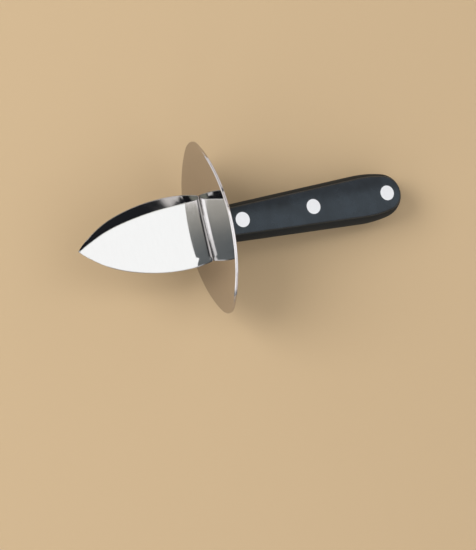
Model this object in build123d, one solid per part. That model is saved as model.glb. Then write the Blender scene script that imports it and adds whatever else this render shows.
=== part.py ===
from build123d import *
import os
from math import atan2, degrees, hypot

# Oyster knife with an oval hand guard and a riveted two-scale handle.
# All lengths are in millimetres. The knife is drawn lying flat: the front of the guard
# is at X = 0, the blade points to +X, Y runs across the blade and Z through its thickness.
# At the end the whole knife is tilted into the pose in which it rests on a table.

# General
fit_clearance = 0.1        # play round the tang and round the rivet sleeves
press_clearance = 0.02     # play between a rivet pin and its sleeve
cut_overrun = 2.0          # how far a cutting shape runs past what it cuts

# Blade: a leaf with flat faces, a ground bevel along each edge and a rounded heel
blade_length = 62.7        # guard to tip
blade_width = 34.4         # at the widest place
blade_thickness = 3.0
widest_distance = 14.2     # guard to the widest place
heel_width = 31.0          # at the guard
belly_distance_share = 0.575
belly_width_share = 0.743
bevel_width = 4.8          # at the widest place
bevel_heel_width = 2.3
bevel_belly_share = 0.95
bevel_tip_length = 0.5
edge_thickness = 0.8       # blunt edge left by the bevels
edge_chamfer = 0.3
heel_round_length = 3.4    # where each flat face rolls down to the guard
heel_round_drop = 0.65

# Tang: the strip behind the blade that runs through the guard into the handle
tang_width = 12.0
tang_end_width = 9.0
tang_end_setback = 5.0     # from the end of the handle to the end of the tang

# Guard: a pressed oval plate, domed towards the tip
guard_width = 80.3
guard_height = 50.4
guard_thickness = 1.6
guard_tip_radius = 10.1
dome_rise_along_width = 1.7
dome_rise_along_height = 1.35
guard_edge_chamfer = 0.4

# Handle: two scales with flat faces and crowned sides, tapering towards the guard
handle_length = 99.2
handle_thickness = 15.0
handle_front_width = 16.6
handle_rear_width = 22.9   # where the sides stop widening
shoulder_distance = 23.0   # from the end of the handle to that place
butt_radius_share = 0.91   # of half the rear width
side_crown = 2.6           # how far the sides stand out beyond the flat faces
crease_radius = 0.4        # between a flat face and the sides
tang_end_clearance = 0.6

# Rivets: a headed pin pressed into a headed sleeve, both heads flush with the handle
front_rivet_distance = 15.8    # guard to the middle of the front rivet
rear_rivet_setback = 9.4       # end of the handle to the middle of the rear rivet
middle_rivet_share = 0.483     # of the way from the front rivet to the rear one
rivet_head_diameter = 7.0
rivet_head_thickness = 1.6
sleeve_diameter = 5.0
pin_diameter = 3.2
shank_end_gap = 0.4

on_base = (Align.CENTER, Align.CENTER, Align.MIN)


# Places along the knife

def dome_fall(y, z):
    """How far the domed guard has fallen back at a place away from its middle."""
    along = dome_rise_along_width * (2 * y / guard_width) ** 2
    across = dome_rise_along_height * (2 * z / guard_height) ** 2
    return along + across


front_half = handle_front_width / 2
rear_half = handle_rear_width / 2
half_thickness = handle_thickness / 2
handle_front = -guard_thickness - dome_fall(front_half - side_crown, half_thickness)
handle_end = handle_front - handle_length
tang_end = handle_end + tang_end_setback
front_rivet = -front_rivet_distance
rear_rivet = handle_end + rear_rivet_setback
middle_rivet = front_rivet + middle_rivet_share * (rear_rivet - front_rivet)
rivet_places = {"front": front_rivet, "middle": middle_rivet, "rear": rear_rivet}


# Blade

half_width = blade_width / 2
belly_x = widest_distance + belly_distance_share * (blade_length - widest_distance)
belly_y = belly_width_share * half_width
tang_thickness = blade_thickness - 2 * heel_round_drop


def leaf_face(heel, rear, widest, belly, tip, flare):
    """Leaf outline, symmetrical about X. The line rear joins the heel and the widest
    place, and tangent arcs go on from there to the tip, of which the first sets off along
    flare. The heel end is square."""
    middle = TangentArc(widest, belly, tangent=flare)
    front = TangentArc(belly, tip, tangent=middle % 1)
    side = [rear, middle, front]
    other_side = [mirror(edge, about=Plane.XZ) for edge in side]
    return make_face(side + other_side + [Line(heel, (heel[0], -heel[1]))])


def blade_outline(inset):
    """Outline of the blade at its blunt edge, moved inwards by inset."""
    heel = (0, heel_width / 2 - inset)
    widest = (widest_distance, half_width - inset)
    belly = (belly_x, belly_y - inset)
    rear = TangentArc(widest, heel, tangent=(-1, 0))
    return leaf_face(heel, rear, widest, belly, (blade_length - inset, 0), (1, 0))


def flat_outline():
    """Outline of each flat face, inside the bevels."""
    heel = (0, heel_width / 2 - bevel_heel_width)
    widest = (widest_distance, half_width - bevel_width)
    belly = (belly_x, belly_y - bevel_belly_share * bevel_width)
    rear = Line(heel, widest)
    return leaf_face(heel, rear, widest, belly, (blade_length - bevel_tip_length, 0), rear % 1)


def heel_relief():
    """What is ground away above the rounded heel of the upper face."""
    top = blade_thickness / 2
    start = (heel_round_length, top)
    end = (0, top - heel_round_drop)
    roll = TangentArc(start, end, tangent=(-1, 0))
    past_heel = (-cut_overrun, end[1])
    above = top + cut_overrun
    rest = Polyline(end, past_heel, (-cut_overrun, above), (heel_round_length, above), start)
    profile = make_face([roll] + list(rest.edges()))
    return extrude(Plane.XZ * profile, amount=half_width + cut_overrun, both=True)


def tang_face(margin, end_margin):
    """Tapered tang with a rounded end, from the front of the guard back to its end."""
    start = tang_width / 2 + margin
    finish = tang_end_width / 2 + margin
    end_x = tang_end - end_margin
    bend_x = end_x + finish
    side = Line((0, start), (bend_x, finish))
    other_side = Line((bend_x, -finish), (0, -start))
    tail = ThreePointArc((bend_x, finish), (end_x, 0), (bend_x, -finish))
    return make_face([side, tail, other_side, Line((0, -start), (0, start))])


def sleeve_hole(length):
    """Round bar on the Z axis that makes room for a rivet's sleeve."""
    return Cylinder(sleeve_diameter / 2 + fit_clearance, length)


def make_blade():
    """Blade, heel and tang, cut from one plate."""
    blunt = blade_outline(0)
    blunt_half = edge_thickness / 2 - edge_chamfer
    bevels = loft([
        Pos(0, 0, blunt_half) * blunt,
        Pos(0, 0, edge_thickness / 2) * blade_outline(edge_chamfer),
        Pos(0, 0, blade_thickness / 2) * flat_outline(),
    ], ruled=True)
    bevels -= heel_relief()
    blade = extrude(blunt, amount=blunt_half, both=True)
    blade += bevels
    blade += mirror(bevels, about=Plane.XY)
    tang = extrude(tang_face(0, 0), amount=tang_thickness / 2, both=True)
    hole = sleeve_hole(tang_thickness + cut_overrun)
    for place in rivet_places.values():
        tang -= Pos(place, 0, 0) * hole
    return blade + tang


# Guard

def oval_face():
    """Four-arc oval: two long side arcs and two small tip arcs, wide along Y."""
    reach = guard_width / 2
    rise = guard_height / 2
    tip_y = reach - guard_tip_radius
    side_radius = (tip_y ** 2 + rise ** 2 - guard_tip_radius ** 2) / (2 * (rise - guard_tip_radius))
    side_centre = rise - side_radius
    slant = hypot(tip_y, side_centre)
    join_y = tip_y + guard_tip_radius * tip_y / slant
    join_z = -guard_tip_radius * side_centre / slant
    upper = ThreePointArc((join_y, join_z), (0, rise), (-join_y, join_z))
    left = ThreePointArc((-join_y, join_z), (-reach, 0), (-join_y, -join_z))
    lower = ThreePointArc((-join_y, -join_z), (0, -rise), (join_y, -join_z))
    right = ThreePointArc((join_y, -join_z), (reach, 0), (join_y, join_z))
    return Plane.YZ * make_face([upper, left, lower, right])


def arc_radius(reach, rise):
    """Radius of the arc that rises by rise over a half chord of reach."""
    return (reach ** 2 + rise ** 2) / (2 * rise)


def dome_sheet():
    """Sheet of even thickness, curved both ways, with its outer face through the origin."""
    across = arc_radius(guard_height / 2, dome_rise_along_height)
    along = arc_radius(guard_width / 2, dome_rise_along_width)
    limit = guard_height / 2 + cut_overrun
    band = Circle(across) - Circle(across - guard_thickness)
    band = Pos(-across, 0) * band
    band &= Pos(-across / 2, 0) * Rectangle(across, 2 * limit)
    spread = 2 * degrees(atan2(guard_width / 2 + cut_overrun, along - 2 * dome_rise_along_width))
    pivot = Axis((-along, 0, 0), (0, 0, 1))
    sheet = revolve(Plane.XZ * band, axis=pivot, revolution_arc=spread)
    return sheet.rotate(pivot, -spread / 2)


def make_guard():
    """Domed oval plate with broken edges and a slot for the tang."""
    deepest = dome_rise_along_width + dome_rise_along_height + guard_thickness + cut_overrun
    blank = extrude(oval_face(), amount=deepest, both=True)
    plate = blank & dome_sheet()
    rim = [edge for edge in plate.edges() if edge.length > guard_tip_radius]
    plate = chamfer(rim, guard_edge_chamfer)
    slot = Box(
        2 * deepest,
        tang_width + 2 * fit_clearance,
        tang_thickness + 2 * fit_clearance,
    )
    return plate - slot


# Handle

shoulder_x = handle_end + shoulder_distance
butt_radius = butt_radius_share * rear_half


def side_line(inset):
    """The handle's outline from the guard round the butt and back, moved inwards by
    inset, as a list of tangent lines and arcs. It starts ahead of the handle's front."""
    front = Vector(handle_front, front_half)
    shoulder = Vector(shoulder_x, rear_half)
    butt = Vector(handle_end + butt_radius, 0)
    along = (shoulder - front).normalized()
    inward = Vector(-along.Y, along.X)
    to_shoulder = shoulder - butt
    reach = -to_shoulder.dot(inward)
    belly_radius = (to_shoulder.length ** 2 - butt_radius ** 2) / (2 * (reach - butt_radius))
    belly_centre = shoulder + inward * belly_radius
    outward = (butt - belly_centre).normalized()
    start = front + inward * inset - along * cut_overrun
    bend = shoulder + inward * inset
    join = butt + outward * (butt_radius - inset)
    side = Line((start.X, start.Y), (bend.X, bend.Y))
    belly = TangentArc((bend.X, bend.Y), (join.X, join.Y), tangent=(along.X, along.Y))
    butt_arc = ThreePointArc((join.X, join.Y), (handle_end + inset, 0), (join.X, -join.Y))
    other_belly = mirror(belly, about=Plane.XZ)
    other_side = mirror(side, about=Plane.XZ)
    return [line.edge() for line in (side, belly, butt_arc, other_belly, other_side)]


def make_handle():
    """The whole handle before it is split into scales: a flat slab with crowned sides."""
    outline = side_line(side_crown)
    start = outline[0] @ 0
    slab = make_face(outline + [Line((start.X, start.Y), (start.X, -start.Y))])
    handle = extrude(slab, amount=half_thickness, both=True)
    crown = ThreePointArc((0, -half_thickness), (side_crown, 0), (0, half_thickness))
    back = Polyline(
        (0, half_thickness),
        (-side_crown, half_thickness),
        (-side_crown, -half_thickness),
        (0, -half_thickness),
    )
    section = make_face([crown] + list(back.edges()))
    direction = outline[0] % 0
    across = direction.cross(Vector(0, 0, 1))
    section_plane = Plane(origin=start, x_dir=across, z_dir=direction)
    handle += sweep(section_plane * section, path=Wire(outline))
    handle = split(handle, bisect_by=Plane((handle_front, 0, 0), z_dir=(-1, 0, 0)), keep=Keep.TOP)
    creases = [
        edge for edge in handle.edges()
        if abs(abs((edge @ 0.5).Z) - half_thickness) < fit_clearance
    ]
    return fillet(creases, crease_radius)


def make_scales():
    """The two handle scales, each with its half of the tang pocket and its rivet holes."""
    handle = make_handle()
    pocket = tang_face(fit_clearance, tang_end_clearance)
    handle -= extrude(pocket, amount=tang_thickness / 2 + fit_clearance, both=True)
    bore = sleeve_hole(handle_thickness + cut_overrun)
    seat = Cylinder(rivet_head_diameter / 2, rivet_head_thickness + cut_overrun, align=on_base)
    upper_seat = Pos(0, 0, half_thickness - rivet_head_thickness) * seat
    lower_seat = mirror(upper_seat, about=Plane.XY)
    for place in rivet_places.values():
        handle -= Pos(place, 0, 0) * (bore + upper_seat + lower_seat)
    upper = split(handle, bisect_by=Plane.XY, keep=Keep.TOP)
    lower = split(handle, bisect_by=Plane.XY, keep=Keep.BOTTOM)
    return upper, lower


# Rivets

def make_rivet():
    """Pin and sleeve of one rivet, standing on the Z axis with its heads at both faces."""
    under_head = half_thickness - rivet_head_thickness
    shank_length = 2 * under_head - shank_end_gap
    head = Cylinder(rivet_head_diameter / 2, rivet_head_thickness, align=on_base)
    pin_shank = Cylinder(pin_diameter / 2, shank_length, align=on_base)
    sleeve_shank = Cylinder(sleeve_diameter / 2, shank_length, align=on_base)
    bore = Cylinder(pin_diameter / 2 + press_clearance, handle_thickness, align=on_base)
    pin = Pos(0, 0, under_head) * head + Pos(0, 0, under_head - shank_length) * pin_shank
    sleeve = Pos(0, 0, -half_thickness) * head + Pos(0, 0, -under_head) * sleeve_shank
    sleeve -= Pos(0, 0, -under_head) * bore
    return pin, sleeve


# The knife, with every piece in its own place

upper_scale, lower_scale = make_scales()
rivet_pin, rivet_sleeve = make_rivet()
pieces = {
    "blade": make_blade(),
    "guard": make_guard(),
    "handle_scale_upper": upper_scale,
    "handle_scale_lower": lower_scale,
}
for name, place in rivet_places.items():
    pieces[f"{name}_rivet_pin"] = Pos(place, 0, 0) * rivet_pin
    pieces[f"{name}_rivet_sleeve"] = Pos(place, 0, 0) * rivet_sleeve

# Resting pose: tip up, on the lowest place of the guard's rim and the end of the handle's
# lower face, with the origin on the table under the middle of the knife

rim_x = -dome_rise_along_height - guard_thickness
rim_z = -guard_height / 2
butt_x = handle_end + side_crown
butt_z = -half_thickness
rest_pitch = degrees(atan2(butt_z - rim_z, rim_x - butt_x))
tilt = Rotation(0, -rest_pitch, 0)
tilted = Compound([tilt * piece for piece in pieces.values()]).bounding_box()
lift = Pos(-tilted.center().X, -tilted.center().Y, -tilted.min.Z)

os.makedirs("parts", exist_ok=True)
for name, piece in pieces.items():
    export_step(lift * tilt * piece, f"parts/{name}.step")
print("rest pitch in degrees:", round(rest_pitch, 3))
print("knife origin in the resting pose:", lift.position)
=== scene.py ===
import math

import bpy
from mathutils import Matrix, Vector

# Oyster knife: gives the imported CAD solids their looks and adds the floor, light and camera.
# Lengths are in metres, and in millimetres where a name ends in MM or a comment says so.

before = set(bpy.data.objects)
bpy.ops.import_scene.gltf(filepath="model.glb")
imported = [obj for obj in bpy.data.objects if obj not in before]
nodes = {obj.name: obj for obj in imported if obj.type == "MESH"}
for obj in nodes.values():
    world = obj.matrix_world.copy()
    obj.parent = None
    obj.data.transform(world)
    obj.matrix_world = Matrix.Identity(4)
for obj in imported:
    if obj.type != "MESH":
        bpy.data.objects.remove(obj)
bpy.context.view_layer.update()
scene = bpy.context.scene

# The knife's own axes in the frame: along the blade, across it, and through its thickness,
# from the middle of the guard's front
PITCH = math.radians(10.51)
ORIGIN = Vector((0.0188985, 0.0, 0.0252863))
ALONG = Vector((math.cos(PITCH), 0.0, math.sin(PITCH)))
ACROSS = Vector((0.0, 1.0, 0.0))
THROUGH = Vector((-math.sin(PITCH), 0.0, math.cos(PITCH)))
MM_PER_METRE = 1000.0
RIVET_PLACES_MM = (-15.8, -52.39, -91.55)    # along the knife


def in_frame(along, across, through):
    """A direction given along, across and through the knife, as a vector of the frame."""
    return ALONG * along + ACROSS * across + THROUGH * through


# Small helpers for node trees

class Tree:
    """A node tree with short ways to add nodes and sums."""

    def __init__(self, tree):
        self.tree = tree
        self.nodes = tree.nodes
        self.nodes.clear()

    def add(self, kind, **settings):
        node = self.nodes.new(kind)
        for key, value in settings.items():
            setattr(node, key, value)
        return node

    def put(self, value, socket):
        """Links an output to a socket, or writes a constant into it."""
        if isinstance(value, bpy.types.NodeSocket):
            self.tree.links.new(value, socket)
        else:
            socket.default_value = value

    def math(self, operation, a, b=None, c=None):
        node = self.add("ShaderNodeMath", operation=operation)
        for value, socket in zip((a, b, c), node.inputs):
            if value is not None:
                self.put(value, socket)
        return node.outputs[0]

    def vector(self, operation, a, b=None):
        node = self.add("ShaderNodeVectorMath", operation=operation)
        self.put(a, node.inputs[0])
        if b is not None:
            self.put(b, node.inputs[1])
        if operation in ("DOT_PRODUCT", "LENGTH"):
            return node.outputs["Value"]
        return node.outputs[0]

    def scaled(self, vector, factor):
        node = self.add("ShaderNodeVectorMath", operation="SCALE")
        self.put(vector, node.inputs[0])
        self.put(factor, node.inputs["Scale"])
        return node.outputs[0]

    def combine(self, x, y, z):
        node = self.add("ShaderNodeCombineXYZ")
        for value, socket in zip((x, y, z), node.inputs):
            self.put(value, socket)
        return node.outputs[0]

    def stretched(self, place, factors):
        """The place (x, y, z) with each coordinate times its factor."""
        parts = [part if factor == 1.0 else self.math("MULTIPLY", part, factor)
                 for part, factor in zip(place, factors)]
        return self.combine(*parts)

    def noise(self, place, scale, detail=2.0, roughness=0.5, distortion=0.0):
        node = self.add("ShaderNodeTexNoise")
        self.put(place, node.inputs["Vector"])
        self.put(scale, node.inputs["Scale"])
        self.put(detail, node.inputs["Detail"])
        self.put(roughness, node.inputs["Roughness"])
        self.put(distortion, node.inputs["Distortion"])
        return node.outputs["Fac"]

    def ramp(self, value, start, end, low=0.0, high=1.0):
        """Smooth step of value from low, at start, to high, at end."""
        node = self.add("ShaderNodeMapRange", interpolation_type="SMOOTHSTEP", clamp=True)
        for given, socket in zip((value, start, end, low, high), node.inputs):
            self.put(given, socket)
        return node.outputs[0]

    def mix(self, share, a, b):
        """Colour a where share is 0, colour b where it is 1."""
        node = self.add("ShaderNodeMix", data_type="RGBA")
        self.put(share, node.inputs[0])
        self.put(a, node.inputs[6])
        self.put(b, node.inputs[7])
        return node.outputs[2]

    def mix_vectors(self, share, a, b):
        node = self.add("ShaderNodeMix", data_type="VECTOR")
        self.put(share, node.inputs[0])
        self.put(a, node.inputs[4])
        self.put(b, node.inputs[5])
        return node.outputs[1]

    def knife_place(self):
        """Coordinates in millimetres along, across and through the knife."""
        here = self.add("ShaderNodeTexCoord").outputs["Object"]
        away = self.scaled(self.vector("SUBTRACT", here, tuple(ORIGIN)), MM_PER_METRE)
        return [self.vector("DOT_PRODUCT", away, tuple(axis))
                for axis in (ALONG, ACROSS, THROUGH)]

    def rounded_normal(self, radius):
        """The surface's normal with its edges rounded by radius."""
        node = self.add("ShaderNodeBevel", samples=6)
        self.put(radius, node.inputs["Radius"])
        return node.outputs[0]

    def bump(self, height, distance, strength=1.0, normal=None):
        node = self.add("ShaderNodeBump")
        self.put(height, node.inputs["Height"])
        self.put(distance, node.inputs["Distance"])
        self.put(strength, node.inputs["Strength"])
        if normal is not None:
            self.put(normal, node.inputs["Normal"])
        return node.outputs[0]


def new_material(name):
    material = bpy.data.materials.new(name)
    material.use_nodes = True
    tree = Tree(material.node_tree)
    shader = tree.add("ShaderNodeBsdfPrincipled")
    output = tree.add("ShaderNodeOutputMaterial")
    tree.put(shader.outputs[0], output.inputs["Surface"])
    return material, tree, shader


def paint(names, material):
    for name in names:
        piece = nodes[name]
        piece.data.materials.clear()
        piece.data.materials.append(material)


# Materials. Noise scales are per millimetre. Streaks are the noise's scale along, across
# and through the knife.

def steel(name, tint, roughness, streak, waviness, edge_radius, tip_softness=0.0):
    """Polished stainless steel with fine polishing lines, smudges and softly rounded edges.
    Near the blade's tip the steep ends of the bevels look less steep by tip_softness."""
    smudge_roughness, fine_roughness = 0.03, 0.02    # added where smudged and along the lines
    fine_shade = 0.985                               # the lines' share of the tint
    fine_depth = 0.0000008
    tip_start_mm, tip_end_mm = 57.0, 60.5

    material, tree, shader = new_material(name)
    x, y, z = tree.knife_place()
    place = tree.combine(x, y, z)
    fine = tree.noise(tree.stretched((x, y, z), streak), 1.0, 3.0, 0.6)
    smudge = tree.ramp(tree.noise(place, 0.11, 4.0, 0.6, 0.4), 0.42, 0.68)
    rough = tree.math("MULTIPLY_ADD", smudge, smudge_roughness, roughness)
    rough = tree.math("MULTIPLY_ADD", fine, fine_roughness, rough)
    tree.put(rough, shader.inputs["Roughness"])
    darker = tuple(part * fine_shade for part in tint[:3]) + (1.0,)
    tree.put(tree.mix(tree.ramp(fine, 0.35, 0.75), tint, darker), shader.inputs["Base Color"])
    shader.inputs["Metallic"].default_value = 1.0

    lift = tree.math("MULTIPLY", tree.ramp(x, tip_start_mm, tip_end_mm), tip_softness)
    lift = tree.math("MULTIPLY", lift, tree.math("SIGN", z))
    lifted = tree.vector("ADD", tree.rounded_normal(edge_radius), tree.scaled(tuple(THROUGH), lift))
    softened = tree.vector("NORMALIZE", lifted)
    wave = tree.bump(tree.noise(place, 0.09, 2.0, 0.5), waviness, 1.0, softened)
    tree.put(tree.bump(fine, fine_depth, 1.0, wave), shader.inputs["Normal"])
    return material


def rivet_distance(tree, x, y):
    """Distance from the middle of the nearest rivet, in millimetres."""
    nearest = None
    for rivet_x in RIVET_PLACES_MM:
        away = tree.vector("LENGTH", tree.combine(tree.math("SUBTRACT", x, rivet_x), y, 0.0))
        nearest = away if nearest is None else tree.math("MINIMUM", nearest, away)
    return nearest


def plastic():
    """Black handle plastic, satin, with a faint grain, mottling and a few scuffs. Its
    rounded sides are duller than its polished flat faces, and are painted blacker as painted shade."""
    dark, light = (0.003, 0.0036, 0.0048, 1.0), (0.011, 0.0145, 0.019, 1.0)
    # The second colour on this line is painted shade for the rounded sides
    scuffed, side_painted_shade = (0.04, 0.044, 0.05, 1.0), (0.002, 0.002, 0.002, 1.0)
    face_roughness, mottle_roughness, scuff_roughness, side_roughness = 0.2, 0.06, 0.12, 0.6
    face_mm, side_mm = 7.3, 6.6    # how far out the flat faces end and the sides begin
    rivet_near_mm, rivet_far_mm = 4.6, 5.6    # the edges are rounded only away from a rivet
    edge_radius = 0.0012
    crown, mottle_height, wave_depth = -0.014, 0.02, 0.001
    grain_depth = 0.00002

    material, tree, shader = new_material("black_plastic")
    x, y, z = tree.knife_place()
    place = tree.combine(x, y, z)
    grain = tree.noise(place, 2.6, 3.0, 0.6)
    mottle = tree.ramp(tree.noise(place, 0.11, 4.0, 0.55, 0.4), 0.3, 0.7)
    scuff = tree.noise(tree.stretched((x, y, z), (0.3, 1.7, 1.0)), 1.0, 5.0, 0.62, 0.6)
    scuff = tree.ramp(scuff, 0.68, 0.76)
    side = tree.ramp(tree.math("ABSOLUTE", z), face_mm, side_mm)
    tint = tree.mix(mottle, dark, light)
    tint = tree.mix(tree.math("MULTIPLY", scuff, 0.4), tint, scuffed)
    # Painted shade: the rounded sides get a blacker colour than the flat faces
    tint = tree.mix(side, tint, side_painted_shade)
    tree.put(tint, shader.inputs["Base Color"])
    rough = tree.math("MULTIPLY_ADD", mottle, mottle_roughness, face_roughness)
    rough = tree.math("MULTIPLY_ADD", side, side_roughness, rough)
    rough = tree.math("MULTIPLY_ADD", scuff, scuff_roughness, rough)
    tree.put(rough, shader.inputs["Roughness"])
    shader.inputs["Specular IOR Level"].default_value = 0.55
    shader.inputs["IOR"].default_value = 1.45
    shader.inputs["Specular Tint"].default_value = (0.74, 0.88, 1.0, 1.0)

    rounded = tree.rounded_normal(edge_radius)
    plain = tree.add("ShaderNodeNewGeometry").outputs["Normal"]
    away_from_rivets = tree.ramp(rivet_distance(tree, x, y), rivet_near_mm, rivet_far_mm)
    soft = tree.mix_vectors(away_from_rivets, plain, rounded)
    crowned = tree.math("MULTIPLY", tree.math("MULTIPLY", y, y), crown)
    height = tree.math("ADD", crowned, tree.math("MULTIPLY", mottle, mottle_height))
    wavy = tree.bump(height, wave_depth, 1.0, soft)
    tree.put(tree.bump(grain, grain_depth, 0.5, wavy), shader.inputs["Normal"])
    return material


def aluminium():
    """Rivet heads sanded flush with the handle, with faint turned lines."""
    dark, light = (0.62, 0.63, 0.65, 1.0), (0.73, 0.74, 0.76, 1.0)
    roughness, marks_roughness = 0.3, 0.16
    rings_per_mm = 9.0
    sanding = (0.5, 7.0, 1.0)
    marks_depth = 0.00001

    material, tree, shader = new_material("rivet_metal")
    x, y, z = tree.knife_place()
    turned = tree.math("MULTIPLY", rivet_distance(tree, x, y), rings_per_mm)
    rings = tree.noise(tree.combine(turned, 0.0, 0.0), 1.0, 2.0, 0.6)
    sanded = tree.noise(tree.stretched((x, y, z), sanding), 1.0, 3.0, 0.6)
    marks = tree.math("ADD", tree.math("MULTIPLY", rings, 0.5), tree.math("MULTIPLY", sanded, 0.5))
    tree.put(tree.mix(marks, dark, light), shader.inputs["Base Color"])
    shader.inputs["Metallic"].default_value = 1.0
    rough = tree.math("MULTIPLY_ADD", marks, marks_roughness, roughness)
    tree.put(rough, shader.inputs["Roughness"])
    tree.put(tree.bump(marks, marks_depth, 0.6), shader.inputs["Normal"])
    return material


blade_steel = steel(
    "blade_polished_steel",
    tint=(0.57, 0.567, 0.56, 1.0),
    roughness=0.03,
    streak=(2.6, 0.16, 0.9),
    waviness=0.0,
    edge_radius=0.0008,
    tip_softness=1.8,
)
guard_steel = steel(
    "guard_polished_steel",
    tint=(0.56, 0.54, 0.545, 1.0),
    roughness=0.035,
    streak=(0.4, 0.3, 2.2),
    waviness=0.00003,
    edge_radius=0.00025,
)
paint(["blade"], blade_steel)
paint(["guard"], guard_steel)
paint(["handle_scale_upper", "handle_scale_lower"], plastic())
paint([name for name in nodes if "rivet" in name], aluminium())


# Floor

FLOOR_REACH = 6.0
corners = [(x, y, 0) for x, y in ((-1, -1), (1, -1), (1, 1), (-1, 1))]
floor_mesh = bpy.data.meshes.new("floor")
floor_mesh.from_pydata([(x * FLOOR_REACH, y * FLOOR_REACH, z) for x, y, z in corners],
                       [], [(0, 1, 2, 3)])
floor = bpy.data.objects.new("floor", floor_mesh)
scene.collection.objects.link(floor)
floor_material, floor_tree, floor_shader = new_material("pale_card")
floor_shader.inputs["Base Color"].default_value = (0.47, 0.345, 0.208, 1.0)
floor_shader.inputs["Roughness"].default_value = 0.9
floor_shader.inputs["Specular IOR Level"].default_value = 0.2
floor_mesh.materials.append(floor_material)


# Light of the surroundings: soft panels and dark bands in a grey room, which the polished
# steel mirrors. A direction is given by u and v, its slopes towards +X and +Y for a rise
# of one, so the zenith is at 0, 0.

LEAST_RISE = 0.02
LEAST_U = 0.05

PALE_ROOM = (1.0, 0.985, 0.885, 1.0)
GREY_ROOM = (0.3, 0.335, 0.345, 1.0)
DIM_ROOM = (0.07, 0.07, 0.075, 1.0)
FAR_SIDES = (0.75, 0.73, 0.7, 1.0)
FRONT_LIGHT = (1.15, 1.13, 1.1, 1.0)
BRIGHT_FRONT_LIGHT = (1.65, 1.65, 1.65, 1.0)
SHADE = (0.1, 0.12, 0.15, 1.0)
STRIPE = (2.4, 2.38, 2.35, 1.0)
DARK_BAND = (0.02, 0.021, 0.025, 1.0)
GREY_PATCH = (0.42, 0.44, 0.38, 1.0)
SPOT = (1.5, 1.5, 1.5, 1.0)
BACK_WALL = (0.95, 0.9, 0.88, 1.0)
PALE_HORIZON = (0.95, 0.91, 0.87, 1.0)
GREY_HORIZON = (0.3, 0.31, 0.33, 1.0)
PANEL = (1.6, 1.61, 1.62, 1.0)
PANEL_END = (1.25, 1.26, 1.27, 1.0)
HOT_EDGE = (2.6, 2.62, 2.65, 1.0)

world = bpy.data.worlds.new("studio")
world.use_nodes = True
scene.world = world
sky = Tree(world.node_tree)
split = sky.add("ShaderNodeSeparateXYZ")
sky.put(sky.add("ShaderNodeTexCoord").outputs["Generated"], split.inputs[0])
dx, dy, dz = split.outputs
rise = sky.math("MAXIMUM", dz, LEAST_RISE)
u = sky.math("DIVIDE", dx, rise)
v = sky.math("DIVIDE", dy, rise)
slanted = sky.math("MULTIPLY_ADD", u, 0.06, v)
steepness = sky.math("DIVIDE", v, sky.math("MAXIMUM", u, LEAST_U))
v_less_u = sky.math("SUBTRACT", v, u)
v_less_4u = sky.math("MULTIPLY_ADD", u, -4.0, v)


def between(value, low, high, soft):
    """1 between low and high, falling to 0 over soft on both sides."""
    start = sky.ramp(value, low - soft, low + soft)
    end = sky.ramp(value, high - soft, high + soft, 1.0, 0.0)
    return sky.math("MULTIPLY", start, end)


def patch(u_range, u_soft, side_range, side_soft, side=v):
    """1 in a field of directions, between two values of u and two of side."""
    return sky.math("MULTIPLY", between(u, *u_range, u_soft), between(side, *side_range, side_soft))


def joined(*shares):
    """The largest of the shares."""
    largest = shares[0]
    for share in shares[1:]:
        largest = sky.math("MAXIMUM", largest, share)
    return largest


def overlap(*shares):
    """The product of the shares."""
    product = shares[0]
    for share in shares[1:]:
        product = sky.math("MULTIPLY", product, share)
    return product


# The panels light the blade's flat face and, from lower down, its bevel on the +Y side
panels = joined(
    patch((-1.2, -0.04), 0.04, (-0.27, 1.15), 0.03),
    patch((-1.2, -0.6), 0.04, (0.8, 1.8), 0.02),
    patch((-0.1, 0.05), 0.02, (0.42, 1.8), 0.04),
    overlap(
        patch((-0.1, 5.0), 0.1, (0.88, 60.0), 0.05),
        sky.ramp(v_less_4u, 1.5, 1.0),
        sky.ramp(steepness, 2.2, 2.5),
    ),
)
back_wall = joined(
    sky.ramp(u, -0.86, -0.92),
    overlap(sky.ramp(u, -0.705, -0.74), sky.ramp(v_less_u, -0.035, -0.015)),
)
front_light = sky.mix(sky.ramp(v, -0.2, 0.0), FRONT_LIGHT, BRIGHT_FRONT_LIGHT)
horizon = sky.mix(sky.ramp(dy, -0.1, 0.1), PALE_HORIZON, GREY_HORIZON)
panel_light = sky.mix(sky.ramp(u, -0.76, -0.88), PANEL, PANEL_END)

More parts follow.
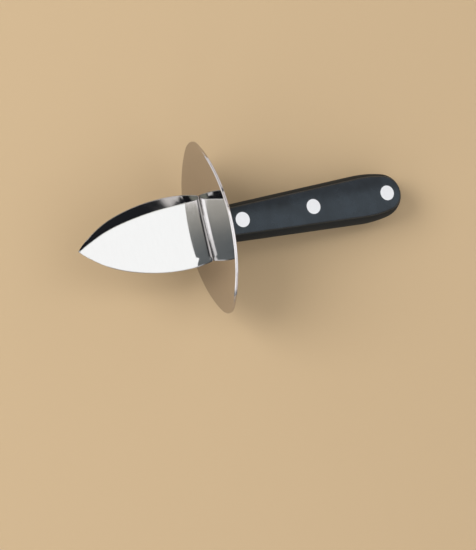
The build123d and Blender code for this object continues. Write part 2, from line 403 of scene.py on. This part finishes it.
# Each layer lies over the ones before it, where its share is 1
layers = (
    (sky.ramp(u, 0.46, 0.66), DIM_ROOM),
    (sky.math("ADD", sky.ramp(v, 1.6, 2.4), sky.ramp(v, -3.2, -4.2)), FAR_SIDES),
    (sky.ramp(u, 0.8, 0.98), front_light),
    (overlap(between(steepness, 1.35, 2.35, 0.1), sky.ramp(u, 0.5, 0.6)), SHADE),
    (patch((0.05, 0.7), 0.05, (-0.46, -0.125), 0.003, slanted), STRIPE),
    (patch((-3.0, 0.75), 0.03, (-3.5, -0.41), 0.03, slanted), DARK_BAND),
    (patch((0.25, 0.75), 0.05, (-2.2, -1.0), 0.07), GREY_PATCH),
    (patch((0.41, 0.49), 0.02, (-0.93, -0.77), 0.02), SPOT),
    (back_wall, BACK_WALL),
    (sky.ramp(dz, 0.15, 0.05), horizon),
    (panels, panel_light),
    (patch((-0.3, -0.03), 0.03, (-0.27, -0.085), 0.02), HOT_EDGE),
)
colour = sky.mix(sky.ramp(v, -0.14, -0.072), PALE_ROOM, GREY_ROOM)
for share, layer in layers:
    colour = sky.mix(share, colour, layer)
background = sky.add("ShaderNodeBackground")
sky.put(colour, background.inputs["Color"])
sky.put(background.outputs[0], sky.add("ShaderNodeOutputWorld").inputs["Surface"])

# Key lamp: lays the soft shadow on the floor, and isn't mirrored
key_data = bpy.data.lights.new("key", "AREA")
key_data.shape = "DISK"
key_data.size = 1.0
key_data.energy = 19.0
key = bpy.data.objects.new("key", key_data)
key.location = (1.15, -0.55, 1.05)
key.rotation_mode = "QUATERNION"
key.rotation_quaternion = key.location.to_track_quat("Z", "Y")
key.visible_glossy = False
key.visible_camera = False
scene.collection.objects.link(key)


# Camera: looks down steeply from beyond the tip, as the photograph does. Its place and
# directions are given along, across and through the knife.

camera_data = bpy.data.cameras.new("camera")
camera_data.lens = 152.6
camera_data.sensor_width = 36.0
camera_data.clip_start = 0.05
camera_data.clip_end = 20.0
camera = bpy.data.objects.new("camera", camera_data)
right = in_frame(-0.8931, 0.2250, 0.3896).normalized()
back = in_frame(0.4146, 0.0753, 0.9069)
back = (back - right * back.dot(right)).normalized()
up = back.cross(right)
place = ORIGIN + in_frame(0.4299, 0.1038, 0.9637)
camera.matrix_world = Matrix((
    (right.x, up.x, back.x, place.x),
    (right.y, up.y, back.y, place.y),
    (right.z, up.z, back.z, place.z),
    (0.0, 0.0, 0.0, 1.0),
))
scene.collection.objects.link(camera)
scene.camera = camera
scene.view_settings.view_transform = "Standard"
